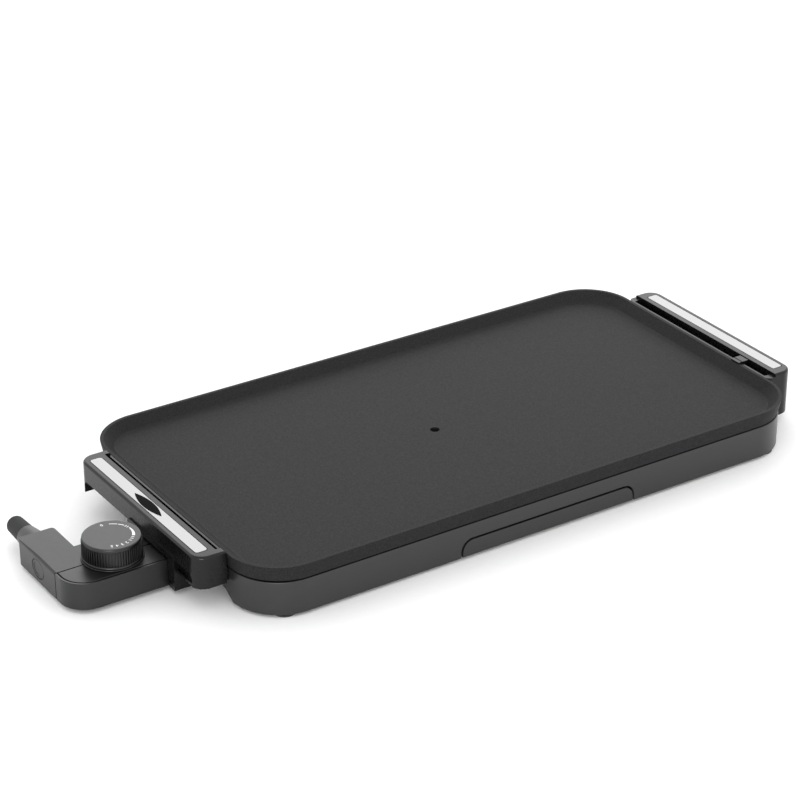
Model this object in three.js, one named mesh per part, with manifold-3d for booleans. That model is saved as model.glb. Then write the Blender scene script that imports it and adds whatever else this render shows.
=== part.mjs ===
// Electric griddle: a coated cooking plate on a low base with two handles, a drip tray that
// slides out at the front, and a plug-in thermostat control with a turning knob.
// Millimetres, +Z up. The griddle's long side lies along X, the control is at the -X end and
// the drip tray faces -Y. The origin is under the middle of the whole object, on the table.
import * as THREE from 'three';
import { mergeVertices } from 'three/addons/utils/BufferGeometryUtils.js';
import Module from 'manifold-3d';

const wasm = await Module();
wasm.setup();

// ---------------------------------------------------------------- driving dimensions
const GAP = 0.3; // clearance kept between pieces that touch
const FEET = 2.5; // height of the base's lower edge above the table

// The plate's outer band leans out by its flare, so the base below it is set in by an inset.
const PLATE = {
  length: 537, width: 290, corner: 45, flare: 2.2,
  top: 46, floor: 38, underside: 34, bottom: 32.9,
  rim: 3.4, floorInset: 13,
};
const BASE = {
  inset: 2.4, wall: 3, top: 32.5, ledge: 9.4, ledgeTop: 5, archTop: 12, archHalf: 82, archFoot: 104,
};
const COVER = { inset: 5.9, bottom: 5.3, top: 6.8 };
const TRAY = {
  x: 4, half: 85, top: 17.5, corner: 10, front: 4, panHalf: 77.5, panBack: 45,
  bottom: 3.8, panTop: 14.5, wall: 2, flange: 82, flangeBottom: 12.4,
};
const HANDLE = {
  half: 98, top: 48, bar: 31, leg: 9, corner: 12, wall: 2.6,
  inlayWidth: 10.4, inlayHalf: 88, inlayCorner: 2.5, inlayDepth: 1.2,
};
const LEFT = { side: -1, outer: 295, slot: 273, inlayX: 284.4, inner: 1, legBottom: 20 };
const RIGHT = { side: 1, outer: 298, slot: 277.5, inlayX: 287.8, inner: 5, legBottom: 7 };
// A thin rail on each handle closes its slot beside the plate's rim.
const RAIL = { width: 1.8, bottom: 36, top: 45.8, end: 7 };
const HOOD = {
  x: -296.3, yMin: -63.5, yMax: 12, bottom: 4, top: 34, ceiling: 29, innerMin: -54.6, innerMax: 6.6,
};

const PROBE = {
  left: -378, nose: -285, front: -53, parting: -24, back: 5, armBack: 41, armRight: -347,
  bottom: 4, top: 27, corner: 22, wall: 2.2,
};
const CONTACT = { z: 18, y: -25, spread: 15, pin: 2.75, wallX: -262 };
const ROD = { radius: 2.75, tip: -192, root: -311 };
const KNOB = { x: -329, y: -25, radius: 24, bottom: 28.8, top: 46, bezel: 26 };
const CORD = { x: -362, z: 15.5, collarLength: 18, tip: 83 };

// The control reaches further out than the far handle, so the griddle sits off the origin.
const PLATE_X = (-PROBE.left - RIGHT.outer) / 2;

const HANDLE_WALL = PLATE.length / 2 + GAP; // x of the handles' faces beside the plate's rim
const BASE_END = PLATE.length / 2 - BASE.inset;
const BASE_FRONT = PLATE.width / 2 - BASE.inset;

// ---------------------------------------------------------------- finishes
const finish = (color, roughness, metalness) => new THREE.MeshStandardMaterial({ color, roughness, metalness });
const coating = () => finish(0x3a3a3b, 0.6, 0.1);
const plastic = () => finish(0x363637, 0.45, 0);
const steel = () => finish(0xd4d4d4, 0.3, 1);
const rubber = () => finish(0x141414, 0.8, 0);
const sheet = () => finish(0x9c9ea0, 0.4, 1);
const ceramic = () => finish(0xe4ddcf, 0.6, 0);
const brass = () => finish(0xb9985a, 0.35, 1);

// ---------------------------------------------------------------- shape helpers
const griddle = new THREE.Group();
griddle.position.x = PLATE_X;

function addPart(name, shape, material) {
  const geometry = shape.isBufferGeometry ? shape : geometryOf(shape);
  geometry.computeVertexNormals();
  const mesh = new THREE.Mesh(geometry, material);
  mesh.name = name;
  griddle.add(mesh);
}

function welded(geometry) {
  const bare = geometry.clone();
  bare.deleteAttribute('normal');
  bare.deleteAttribute('uv');
  return mergeVertices(bare, 1e-4);
}

// A closed geometry as a solid, turned the right way out if its faces point inwards.
function solid(geometry) {
  const mesh = welded(geometry);
  const points = mesh.attributes.position;
  const index = mesh.index.array;
  const [a, b, c] = [new THREE.Vector3(), new THREE.Vector3(), new THREE.Vector3()];
  let volume = 0;
  for (let i = 0; i < index.length; i += 3) {
    a.fromBufferAttribute(points, index[i]);
    b.fromBufferAttribute(points, index[i + 1]);
    c.fromBufferAttribute(points, index[i + 2]);
    volume += a.dot(b.cross(c));
  }
  const triVerts = new Uint32Array(index);
  if (volume < 0) {
    triVerts.reverse();
  }
  const vertProperties = new Float32Array(points.array);
  return new wasm.Manifold(new wasm.Mesh({ numProp: 3, vertProperties, triVerts }));
}

function geometryOf(manifold) {
  const { vertProperties, triVerts } = manifold.getMesh();
  const geometry = new THREE.BufferGeometry();
  geometry.setAttribute('position', new THREE.BufferAttribute(new Float32Array(vertProperties), 3));
  geometry.setIndex(new THREE.BufferAttribute(new Uint32Array(triVerts), 1));
  return geometry;
}

const union = (shapes) => shapes.reduce((sum, shape) => sum.add(shape));
const cut = (shape, tools) => tools.reduce((rest, tool) => rest.subtract(tool), shape);

function box(x0, x1, y0, y1, z0, z1) {
  const geometry = new THREE.BoxGeometry(x1 - x0, y1 - y0, z1 - z0);
  geometry.translate((x0 + x1) / 2, (y0 + y1) / 2, (z0 + z1) / 2);
  return solid(geometry);
}

// A round bar from z0 to z1, turned to lie along X or Y where an axis is named.
function bar(radius, from, to, [u, v], axis = 'z', sides = 24) {
  const geometry = new THREE.CylinderGeometry(radius, radius, to - from, sides);
  const middle = (from + to) / 2;
  if (axis === 'z') {
    geometry.rotateX(Math.PI / 2);
    geometry.translate(u, v, middle);
  } else if (axis === 'x') {
    geometry.rotateZ(Math.PI / 2);
    geometry.translate(middle, u, v);
  } else {
    geometry.translate(u, middle, v);
  }
  return solid(geometry);
}

// A turned piece: profile points are [radius, height]; it stands on +Z at (x, y).
function turned(profile, [x, y], sides = 32) {
  const geometry = new THREE.LatheGeometry(profile.map(([r, z]) => new THREE.Vector2(r, z)), sides);
  geometry.rotateX(Math.PI / 2);
  geometry.translate(x, y, 0);
  return solid(geometry);
}

// A turned piece whose heights run along +Y instead, centred at (x, z).
function turnedAlongY(profile, [x, z], sides = 24) {
  const geometry = new THREE.LatheGeometry(profile.map(([r, y]) => new THREE.Vector2(r, y)), sides);
  geometry.translate(x, 0, z);
  return solid(geometry);
}

// Corner-rounded outline of a box in plan; corners run from +X+Y round counter-clockwise.
function outline([x0, x1], [y0, y1], radii, steps = 6) {
  const corners = [[x1, y1, 0], [x0, y1, 1], [x0, y0, 2], [x1, y0, 3]];
  return corners.flatMap(([x, y, quarter]) => {
    const radius = Math.max(radii[quarter], 0.01);
    const [sx, sy] = [x === x1 ? -1 : 1, y === y1 ? -1 : 1];
    return Array.from({ length: steps + 1 }, (_, i) => {
      const angle = (quarter + i / steps) * (Math.PI / 2);
      return [x + sx * radius + radius * Math.cos(angle), y + sy * radius + radius * Math.sin(angle)];
    });
  });
}

// A solid skinned over level rings of equal point count, lowest ring first.
function loft(rings) {
  const count = rings[0].points.length;
  const position = [];
  const index = [];
  rings.forEach(({ points, z }) => points.forEach(([x, y]) => position.push(x, y, z)));
  for (let ring = 0; ring + 1 < rings.length; ring += 1) {
    for (let i = 0; i < count; i += 1) {
      const [a, b] = [ring * count + i, ring * count + ((i + 1) % count)];
      index.push(a, b, b + count, a, b + count, a + count);
    }
  }
  const last = (rings.length - 1) * count;
  for (let i = 1; i + 1 < count; i += 1) {
    index.push(0, i + 1, i);
    index.push(last, last + i, last + i + 1);
  }
  const geometry = new THREE.BufferGeometry();
  geometry.setAttribute('position', new THREE.Float32BufferAttribute(position, 3));
  geometry.setIndex(index);
  return solid(geometry);
}

// The griddle's own rounded footprint, drawn in by an inset, as loft rings.
function footprint(levels, steps = 8) {
  return loft(levels.map(([inset, z]) => {
    const [halfX, halfY] = [PLATE.length / 2 - inset, PLATE.width / 2 - inset];
    const radius = PLATE.corner - inset;
    return { z, points: outline([-halfX, halfX], [-halfY, halfY], [radius, radius, radius, radius], steps) };
  }));
}

// A shape drawn in the YZ or XZ plane and pushed through along the remaining axis.
function pushed(shape, from, to, axis, curveSegments = 6) {
  const geometry = new THREE.ExtrudeGeometry(shape, { depth: to - from, bevelEnabled: false, curveSegments });
  if (axis === 'x') {
    geometry.applyMatrix4(new THREE.Matrix4().makeBasis(
      new THREE.Vector3(0, 1, 0), new THREE.Vector3(0, 0, 1), new THREE.Vector3(1, 0, 0)));
    geometry.translate(from, 0, 0);
  } else if (axis === 'y') {
    geometry.rotateX(Math.PI / 2);
    geometry.translate(0, to, 0);
  } else {
    geometry.translate(0, 0, from);
  }
  return solid(geometry);
}

function polygon(points) {
  return new THREE.Shape(points.map(([u, v]) => new THREE.Vector2(u, v)));
}

// ---------------------------------------------------------------- cooking plate
const LUGS = [[-200, -105], [200, -105], [200, 105], [-200, 105]];
const REFLECTOR_LUGS = [[-100, 0], [100, 0]];
const DRAIN = { x: -15, y: -5, radius: 4, spout: 7, spoutBottom: 18 };

function makeCookingPlate() {
  const body = footprint([[PLATE.flare + 1, PLATE.bottom], [PLATE.flare, PLATE.bottom + 1.2],
    [0, PLATE.top - 2.4], [0.5, PLATE.top - 0.8], [1.6, PLATE.top]]);
  const recess = footprint([[PLATE.floorInset, PLATE.floor], [PLATE.floorInset - 3, PLATE.floor + 0.7],
    [PLATE.rim + 1, PLATE.top - 1.2], [PLATE.rim - 0.6, PLATE.top], [PLATE.rim - 1, PLATE.top + 2]]);
  const hollow = footprint([[6, PLATE.bottom - 2], [6, PLATE.underside]]);
  const sensorY = CONTACT.y;
  const tunnel = union([
    bar(6.5, CONTACT.wallX, -185, [sensorY, CONTACT.z], 'x'),
    box(CONTACT.wallX, -185, sensorY - 4, sensorY + 4, CONTACT.z, PLATE.underside + 1),
  ]);
  const lugs = LUGS.map((place) => bar(6, COVER.top + GAP, PLATE.underside + 1, place));
  const pads = REFLECTOR_LUGS.map((place) => bar(5, 23.4, PLATE.underside + 1, place));
  const spout = bar(DRAIN.spout, DRAIN.spoutBottom, PLATE.underside + 1, [DRAIN.x, DRAIN.y]);
  const solidPlate = union([cut(body, [recess, hollow]), tunnel, ...lugs, ...pads, spout]);
  return cut(solidPlate, [
    bar(DRAIN.radius, DRAIN.spoutBottom - 1, PLATE.top, [DRAIN.x, DRAIN.y]),
    bar(ROD.radius + 0.9, CONTACT.wallX - 1, ROD.tip + 3, [sensorY, CONTACT.z], 'x'),
    ...LUGS.map((place) => bar(2.1, 0, 26, place, 'z', 12)),
    ...REFLECTOR_LUGS.map((place) => bar(1.8, 20, 31, place, 'z', 12)),
  ]);
}
addPart('cooking_plate', makeCookingPlate(), coating());

// ---------------------------------------------------------------- heating element
const ELEMENT = { radius: 3.9, sideY: 88, farX: 205, nearX: -185, bend: 20, coldEnd: -248 };

function arcPoints([cx, cy], radius, fromQuarter, toQuarter) {
  return [0, 1 / 3, 2 / 3, 1].map((t) => {
    const angle = (fromQuarter + (toQuarter - fromQuarter) * t) * (Math.PI / 2);
    return [cx + radius * Math.cos(angle), cy + radius * Math.sin(angle)];
  });
}

function makeElement() {
  const { sideY, farX, nearX, bend, coldEnd, radius } = ELEMENT;
  const high = PLATE.underside - GAP - radius;
  const [pinA, pinB] = [CONTACT.y - CONTACT.spread, CONTACT.y + CONTACT.spread];
  const turnX = nearX - bend;
  const flat = [
    ...arcPoints([turnX, pinA - bend], bend, 1, 0),
    ...arcPoints([nearX + bend, -sideY + bend], bend, 2, 3),
    ...arcPoints([farX - bend, -sideY + bend], bend, 3, 4),
    ...arcPoints([farX - bend, sideY - bend], bend, 0, 1),
    ...arcPoints([nearX + bend, sideY - bend], bend, 1, 2),
    ...arcPoints([turnX, pinB + bend], bend, 0, -1),
  ].map(([x, y]) => new THREE.Vector3(x, y, high));
  const end = (y) => [
    new THREE.Vector3(coldEnd, y, CONTACT.z),
    new THREE.Vector3(coldEnd + 8, y, CONTACT.z),
    new THREE.Vector3(turnX - 12, y, high - 4),
    new THREE.Vector3(turnX - 4, y, high),
  ];
  const stops = [...end(pinA), ...flat, ...end(pinB).reverse()];
  const route = new THREE.CatmullRomCurve3(stops, false, 'centripetal');
  const section = new THREE.Shape().absarc(0, 0, radius, 0, Math.PI * 2);
  return new THREE.ExtrudeGeometry(section, {
    extrudePath: route, steps: 88, bevelEnabled: false, curveSegments: 4,
  });
}
addPart('heating_element', solid(makeElement()), steel());

for (const [place, side] of [['front', -1], ['rear', 1]]) {
  const at = [CONTACT.y + side * CONTACT.spread, CONTACT.z];
  const bead = cut(bar(5.4, -260, ELEMENT.coldEnd - GAP, at, 'x'), [bar(3.1, -262, -246, at, 'x', 12)]);
  addPart(`pin_insulator_${place}`, bead, ceramic());
  addPart(`terminal_pin_${place}`, bar(CONTACT.pin, -304, ELEMENT.coldEnd - GAP, at, 'x', 16), steel());
}

// ---------------------------------------------------------------- heat reflector
function makeReflector() {
  const pan = (inset, z0, z1) => loft([z0, z1].map((z) => ({
    z, points: outline([-172 + inset, 222 - inset], [-96 + inset, 96 - inset], [8, 8, 8, 8], 3),
  })));
  return cut(pan(0, 22, 25.4), [
    pan(1, 23, 26),
    bar(DRAIN.spout + 3, 20, 25, [DRAIN.x, DRAIN.y]),
    ...REFLECTOR_LUGS.map((place) => bar(2.2, 20, 25, place, 'z', 12)),
  ]);
}
addPart('heat_reflector', makeReflector(), sheet());
REFLECTOR_LUGS.forEach((place, i) => {
  const screw = union([bar(3.4, 19.6, 21.6, place, 'z', 12), bar(1.5, 21.5, 30, place, 'z', 12)]);
  addPart(`reflector_screw_${i + 1}`, screw, steel());
});

// ---------------------------------------------------------------- base skirt
// The end walls rise in a soft arch between the corners; this is the void under the arch.
function archVoid() {
  const { archTop, archHalf, archFoot } = BASE;
  const shape = new THREE.Shape();
  shape.moveTo(-archFoot, FEET - 2);
  shape.lineTo(-archFoot, FEET);
  shape.bezierCurveTo(-archFoot + 9, FEET + 0.5, -archHalf - 9, archTop, -archHalf, archTop);
  shape.lineTo(archHalf, archTop);
  shape.bezierCurveTo(archHalf + 9, archTop, archFoot - 9, FEET + 0.5, archFoot, FEET);
  shape.lineTo(archFoot, FEET - 2);
  return shape;
}

function trayWindow(grow) {
  const [half, top, corner] = [TRAY.half + grow, TRAY.top + grow, TRAY.corner + grow];
  const shape = new THREE.Shape();
  shape.moveTo(-half, FEET - 1);
  shape.lineTo(half, FEET - 1);
  shape.lineTo(half, top - corner);
  shape.absarc(half - corner, top - corner, corner, 0, Math.PI / 2, false);
  shape.absarc(-half + corner, top - corner, corner, Math.PI / 2, Math.PI, false);
  return shape;
}

const HANDLE_SCREW_Y = 92.6;

function makeSkirt() {
  const { inset, wall, top, ledge, ledgeTop } = BASE;
  const outer = footprint([[inset + 1, FEET], [inset, FEET + 1], [inset, top - 1], [inset + 0.7, top]]);
  const inner = footprint([[inset + wall, ledgeTop], [inset + wall, top + 1]]);
  const mouth = footprint([[ledge, FEET - 1], [ledge, ledgeTop + 1]]);
  const holes = [];
  for (const { side, legBottom } of [LEFT, RIGHT]) {
    const [x0, x1] = side < 0 ? [-BASE_END - 1, -BASE_END + 12] : [BASE_END - 12, BASE_END + 1];
    holes.push(pushed(archVoid(), x0, x1, 'x'));
    for (const y of [-HANDLE_SCREW_Y, HANDLE_SCREW_Y]) {
      holes.push(bar(2.3, x0, x1, [y, legBottom + 6], 'x', 12));
    }
  }
  const inlet = box(-BASE_END - 1, -BASE_END + 12, HOOD.innerMin, HOOD.innerMax, FEET - 1, HOOD.ceiling);
  const front = pushed(trayWindow(0.5), -PLATE.width / 2 - 1, -PLATE.width / 2 + 12, 'y', 4)
    .translate([TRAY.x, 0, 0]);
  return cut(outer, [inner, mouth, inlet, front, ...holes]);
}
addPart('base_skirt', makeSkirt(), plastic());

// ---------------------------------------------------------------- bottom cover, feet, screws
const FOOT_PLACES = [[-237, -129], [237, -129], [237, 129], [-237, 129]];
const CORNER_NAMES = ['front_left', 'front_right', 'rear_right', 'rear_left'];

function makeCover() {
  const blank = footprint([[COVER.inset, COVER.bottom], [COVER.inset, COVER.top]], 5);
  const wellHalf = TRAY.half + 0.5;
  const vents = [];
  for (let x = -180; x <= 180; x += 40) {
    if (Math.abs(x) > 100) {
      vents.push(box(x - 3, x + 3, -50, 50, 0, 10));
    }
  }
  return cut(blank, [
    box(TRAY.x - wellHalf, TRAY.x + wellHalf, -PLATE.width, TRAY.panBack + 4, 0, 10),
    ...vents,
    ...LUGS.map((place) => bar(2.4, 0, 10, place, 'z', 12)),
    ...FOOT_PLACES.map((place) => bar(3.5, 0, 10, place, 'z', 12)),
    box(-270, -255, HOOD.innerMin, HOOD.innerMax, 0, 10),
  ]);
}
addPart('bottom_cover', makeCover(), sheet());

FOOT_PLACES.forEach((place, i) => {
  const profile = [[0, 0], [9.4, 0], [10.2, 0.8], [10.2, FEET - GAP], [3.2, FEET - GAP], [3.2, COVER.top + GAP],
    [4.6, COVER.top + GAP], [3.4, COVER.top + 3], [0, COVER.top + 3]];
  addPart(`foot_${CORNER_NAMES[i]}`, turned(profile, place, 20), rubber());
});

LUGS.forEach((place, i) => {
  const head = bar(3.8, COVER.bottom - GAP - 1.8, COVER.bottom - GAP, place, 'z', 12);
  const shank = bar(1.8, COVER.bottom - GAP - 1, 22, place, 'z', 12);
  addPart(`plate_screw_${CORNER_NAMES[i]}`, union([head, shank]), steel());
});

// ---------------------------------------------------------------- drip tray and its rails
function makeTray() {
  const [panFront, panBack] = [-BASE_FRONT, TRAY.panBack];
  const pan = box(-TRAY.panHalf, TRAY.panHalf, panFront + 2, panBack, TRAY.bottom, TRAY.panTop);
  const well = box(-TRAY.panHalf + TRAY.wall, TRAY.panHalf - TRAY.wall, panFront + TRAY.front,
    panBack - TRAY.wall, TRAY.bottom + TRAY.wall, TRAY.panTop + 1);
  const flanges = [-1, 1].map((side) => {
    const [x0, x1] = [side * (TRAY.panHalf - 1), side * TRAY.flange].sort((a, b) => a - b);
    return box(x0, x1, panFront + 12, panBack, TRAY.flangeBottom, TRAY.panTop);
  });
  const fascia = pushed(trayWindow(0), panFront, panFront + TRAY.front, 'y', 5)
    .subtract(box(-90, 90, -150, -130, 0, FEET + 0.4));
  return union([cut(pan, [well]), ...flanges, fascia]).translate([TRAY.x, 0, 0]);
}
addPart('drip_tray', makeTray(), plastic());

for (const [name, side] of [['left', -1], ['right', 1]]) {
  const section = [[79, 10.4], [85, 10.4], [85, COVER.top + GAP], [95, COVER.top + GAP], [95, COVER.top + 1.8],
    [86.5, COVER.top + 1.8], [86.5, 16.4], [85, 16.4], [85, 12], [79, 12]];
  const shape = polygon(section.map(([u, z]) => [TRAY.x + side * u, z]));
  addPart(`tray_rail_${name}`, pushed(shape, -128, TRAY.panBack + 2, 'y'), sheet());
}

// ---------------------------------------------------------------- handles
const CATCH = { y0: -62, y1: -51, bottom: 33.4, top: 47.4, reach: 3 };

function slab(side, [u0, u1], [y0, y1], [z0, z1]) {
  const [x0, x1] = [side * u0, side * u1].sort((a, b) => a - b);
  return box(x0, x1, y0, y1, z0, z1);
}

function handleOutline({ side, outer, inner }, inset) {
  const [x0, x1] = [side * HANDLE_WALL, side * (outer - inset)].sort((a, b) => a - b);
  const round = HANDLE.corner - inset;
  const radii = side < 0 ? [inner, round, round, inner] : [round, inner, inner, round];
  return outline([x0, x1], [-HANDLE.half + inset, HANDLE.half - inset], radii, 6);
}

function makeHandle(place) {
  const { side, outer, slot, legBottom } = place;
  const { half, leg, bar: barZ, top, wall } = HANDLE;
  const levels = [[1.5, legBottom], [0, legBottom + 1.5], [0, top - 2.6], [0.8, top - 0.8], [2.4, top]];
  const block = loft(levels.map(([inset, z]) => ({ z, points: handleOutline(place, inset) })));
  const inside = [-half + leg, half - leg];
  const slotEnds = [-half + RAIL.end, half - RAIL.end];
  const railBack = HANDLE_WALL + RAIL.width;
  const cuts = [
    slab(side, [HANDLE_WALL - 1, outer + 2], inside, [0, barZ]),
    slab(side, [railBack, slot], slotEnds, [0, top + 1]),
    slab(side, [HANDLE_WALL - 1, railBack + 1], slotEnds, [0, RAIL.bottom]),
    slab(side, [HANDLE_WALL - 1, railBack + 1], slotEnds, [RAIL.top, top + 1]),
    slab(side, [slot + wall, outer - wall], inside, [0, top - wall - 1]),
    inlay(place, 0.35, top - HANDLE.inlayDepth - GAP, top + 1),
  ];
  if (side > 0) {
    cuts.push(slab(side, [HANDLE_WALL - 1, railBack + 1], [CATCH.y0 - GAP, CATCH.y1 + GAP], [0, top + 1]));
  }
  const lugs = [-1, 1].map((end) => {
    const span = [end * (half - leg), end * (half - 2)].sort((a, b) => a - b);
    return slab(side, [BASE_END + GAP, HANDLE_WALL + 1], span, [legBottom + 1, BASE.top - GAP]);
  });
  const screwHoles = [-HANDLE_SCREW_Y, HANDLE_SCREW_Y].map((y) => {
    const [from, to] = [side * (BASE_END - 1), side * (BASE_END + 16)].sort((a, b) => a - b);
    return bar(2.1, from, to, [y, legBottom + 6], 'x', 12);
  });
  return cut(union([cut(block, cuts), ...lugs]), screwHoles);
}

function inlay({ side, inlayX }, grow, z0, z1) {
  const half = HANDLE.inlayWidth / 2 + grow;
  const [x0, x1] = [side * inlayX - half, side * inlayX + half];
  const radius = HANDLE.inlayCorner + grow;
  const [y0, y1] = [-HANDLE.inlayHalf - grow, HANDLE.inlayHalf + grow];
  const points = outline([x0, x1], [y0, y1], [radius, radius, radius, radius], 4);
  return loft([{ z: z0, points }, { z: z1, points }]);
}

// The hood on the left handle: a socket open below, into which the control's nose slides. A web
// and a shelf close the space between it and the handle's front leg.
function makeHood() {
  const shape = polygon([[HOOD.yMin, HOOD.bottom], [HOOD.yMin, HOOD.top - 3], [HOOD.yMin + 3, HOOD.top],
    [HOOD.yMax - 3, HOOD.top], [HOOD.yMax, HOOD.top - 3], [HOOD.yMax, HOOD.bottom]]);
  const shell = pushed(shape, HOOD.x, -HANDLE_WALL, 'x');
  const neck = box(-HANDLE_WALL - 1, -BASE_END - GAP, HOOD.yMin, HOOD.yMax, BASE.archTop + GAP, BASE.top - GAP);
  const throat = box(HOOD.x - 1, -BASE_END + 1, HOOD.innerMin, HOOD.innerMax, 0, HOOD.ceiling);
  const [webFront, webBack] = [-HANDLE.half + HANDLE.leg - 1, HOOD.yMin + 1];
  const web = box(-291, -288.4, webFront, webBack, LEFT.legBottom, HANDLE.top - HANDLE.wall);
  const shelf = box(-294, -284, webFront, webBack, LEFT.legBottom, LEFT.legBottom + 2.4);
  return union([cut(union([shell, neck]), [throat]), web, shelf]);
}

const BADGE = { y: -2, halfLength: 22, halfWidth: 4.6 };

function badgeShape(grow) {
  const [length, width] = [BADGE.halfLength + grow, BADGE.halfWidth + grow];
  const shape = new THREE.Shape();
  shape.moveTo(0, -length);
  shape.quadraticCurveTo(width * 1.9, 0, 0, length);
  shape.quadraticCurveTo(-width * 1.9, 0, 0, -length);
  return shape;
}

function badge(grow, z0, z1) {
  return pushed(badgeShape(grow), z0, z1, 'z', 8).translate([-LEFT.inlayX, BADGE.y, 0]);
}

addPart('left_handle', union([makeHandle(LEFT), makeHood()]), plastic());
addPart('right_handle', makeHandle(RIGHT), plastic());
const inlayTop = HANDLE.top + 0.1;
const leftInlay = inlay(LEFT, 0, HANDLE.top - HANDLE.inlayDepth, inlayTop);
addPart('left_inlay', leftInlay.subtract(badge(0.3, HANDLE.top - 0.6, HANDLE.top + 1)), steel());
addPart('right_inlay', inlay(RIGHT, 0, HANDLE.top - HANDLE.inlayDepth, inlayTop), steel());
addPart('inlay_badge', badge(0, HANDLE.top - 0.3, HANDLE.top + 0.3), rubber());

for (const { side, legBottom } of [LEFT, RIGHT]) {
  for (const [end, y] of [['front', -HANDLE_SCREW_Y], ['rear', HANDLE_SCREW_Y]]) {
    const at = [y, legBottom + 6];
    const innerWall = BASE_END - BASE.wall - GAP;
    const span = (from, to) => [side * from, side * to].sort((a, b) => a - b);
    const head = bar(3.6, ...span(innerWall - 2, innerWall), at, 'x', 12);
    const shank = bar(1.7, ...span(innerWall - 1, innerWall + 16), at, 'x', 12);
    addPart(`handle_screw_${side < 0 ? 'left' : 'right'}_${end}`, union([head, shank]), steel());
  }
}

// A small catch clipped to the right handle reaches over the plate's rim.
addPart('plate_catch', union([
  box(HANDLE_WALL, RIGHT.slot - GAP, CATCH.y0, CATCH.y1, CATCH.bottom, CATCH.top),
  box(HANDLE_WALL - CATCH.reach, HANDLE_WALL + 1, CATCH.y0, CATCH.y1, PLATE.top + GAP, CATCH.top),
]), plastic());

// ---------------------------------------------------------------- thermostat control
function controlOutline(part, inset) {
  const { left, nose, front, parting, back, armBack, armRight, corner } = PROBE;
  const shape = new THREE.Shape();
  if (part === 'front') {
    shape.moveTo(nose - inset, parting - GAP / 2);
    shape.lineTo(left + inset, parting - GAP / 2);
    shape.lineTo(left + inset, front + corner);
    shape.absarc(left + corner, front + corner, corner - inset, Math.PI, Math.PI * 1.5, false);
    shape.lineTo(nose - inset, front + inset);
    return shape;
  }
  shape.moveTo(left + inset, parting + GAP / 2);
  shape.lineTo(nose - inset, parting + GAP / 2);
  shape.lineTo(nose - inset, back - inset);
  shape.lineTo(armRight - inset, back - inset);
  shape.lineTo(armRight - inset, armBack - inset);
  shape.lineTo(left + inset, armBack - inset);
  return shape;
}

const SOCKET = { radius: 4.7, bore: 3.4, from: -311, to: -289 };
const CASE_SCREWS = [-341, -301];
const CASE_SCREW_Z = 8.6;
const spindleAt = [KNOB.x, KNOB.y];

function noseHoles() {
  const { z, y, spread } = CONTACT;
  return [
    bar(5.3, PROBE.nose - 8, PROBE.nose + 1, [y, z], 'x'),
    bar(4, PROBE.nose - 8, PROBE.nose + 1, [y - spread, z], 'x', 16),
    bar(4, PROBE.nose - 8, PROBE.nose + 1, [y + spread, z], 'x', 16),
  ];
}

function makeFrontHousing() {
  const { bottom, top, wall, parting } = PROBE;
  const shell = pushed(controlOutline('front', 0), bottom, top, 'z', 8);
  const coverSeat = pushed(controlOutline('front', 1.6), top - 1.5, top + 1, 'z', 8);
  const cavity = pushed(controlOutline('front', wall), bottom + wall, top - 3.2, 'z', 8);
  const mouth = box(PROBE.left + wall, PROBE.nose - wall, parting - 3, parting + 3, bottom + wall, top - 3.2);
  const bosses = CASE_SCREWS.map((x) => bar(3.6, PROBE.front + 1, parting - 3, [x, CASE_SCREW_Z], 'y', 12));
  const bores = CASE_SCREWS.map((x) => bar(1.9, PROBE.front + 6, parting + 1, [x, CASE_SCREW_Z], 'y', 12));
  const hollowed = union([cut(shell, [coverSeat, cavity, mouth]), ...bosses]);
  return cut(hollowed, [...bores, ...noseHoles(), bar(5, 20, 40, spindleAt)]);
}

function makeRearHousing() {
  const { bottom, top, wall, parting, back } = PROBE;
  const shell = pushed(controlOutline('rear', 0), bottom, top, 'z');
  const cavity = pushed(controlOutline('rear', wall), bottom + wall, top - wall, 'z');
  const mouth = box(PROBE.left + wall, PROBE.nose - wall, parting - 3, parting + 3, bottom + wall, top - wall);
  const screwWays = CASE_SCREWS.flatMap((x) => [
    bar(1.9, parting - 1, back + 1, [x, CASE_SCREW_Z], 'y', 12),
    bar(3.6, back - 1, back + 1, [x, CASE_SCREW_Z], 'y', 12),
  ]);
  const cordHole = bar(7.4, PROBE.armBack - 8, PROBE.armBack + 1, [CORD.x, CORD.z], 'y');
  const badgeSeat = sideBadge(0.3, PROBE.left - 1, PROBE.left + 0.8);
  const spindleHole = bar(5, 20, 40, spindleAt);
  return cut(shell, [cavity, mouth, ...screwWays, ...noseHoles(), cordHole, badgeSeat, spindleHole]);
}

const SIDE_BADGE = { y: 6.5, z: 15.8, halfLength: 9.5, halfHeight: 7.6 };

function sideBadge(grow, from, to) {
  const shape = new THREE.Shape();
  shape.absellipse(SIDE_BADGE.y, SIDE_BADGE.z, SIDE_BADGE.halfLength + grow, SIDE_BADGE.halfHeight + grow,
    0, Math.PI * 2, false, 0);
  return pushed(shape, from, to, 'x', 8);
}

addPart('control_front_housing', makeFrontHousing(), plastic());
addPart('control_rear_housing', makeRearHousing(), plastic());
const topCover = pushed(controlOutline('front', 2), PROBE.top - 1.2, PROBE.top + 0.1, 'z', 8);
addPart('control_top_cover', topCover.subtract(bar(5, 20, 40, spindleAt)), plastic());
addPart('control_side_badge', sideBadge(0, PROBE.left + 0.2, PROBE.left + 0.5), plastic());

const bezel = [[8, PROBE.top + 0.4], [KNOB.bezel, PROBE.top + 0.4], [KNOB.bezel, PROBE.top + 0.9],
  [KNOB.bezel - 0.6, PROBE.top + 1.4], [8, PROBE.top + 1.4], [8, PROBE.top + 0.4]];
addPart('knob_bezel', turned(bezel, spindleAt, 36), plastic());

const thermostat = box(-346, -314, -40, -10, 13.4, 20);
addPart('thermostat_block', thermostat, ceramic());

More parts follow.
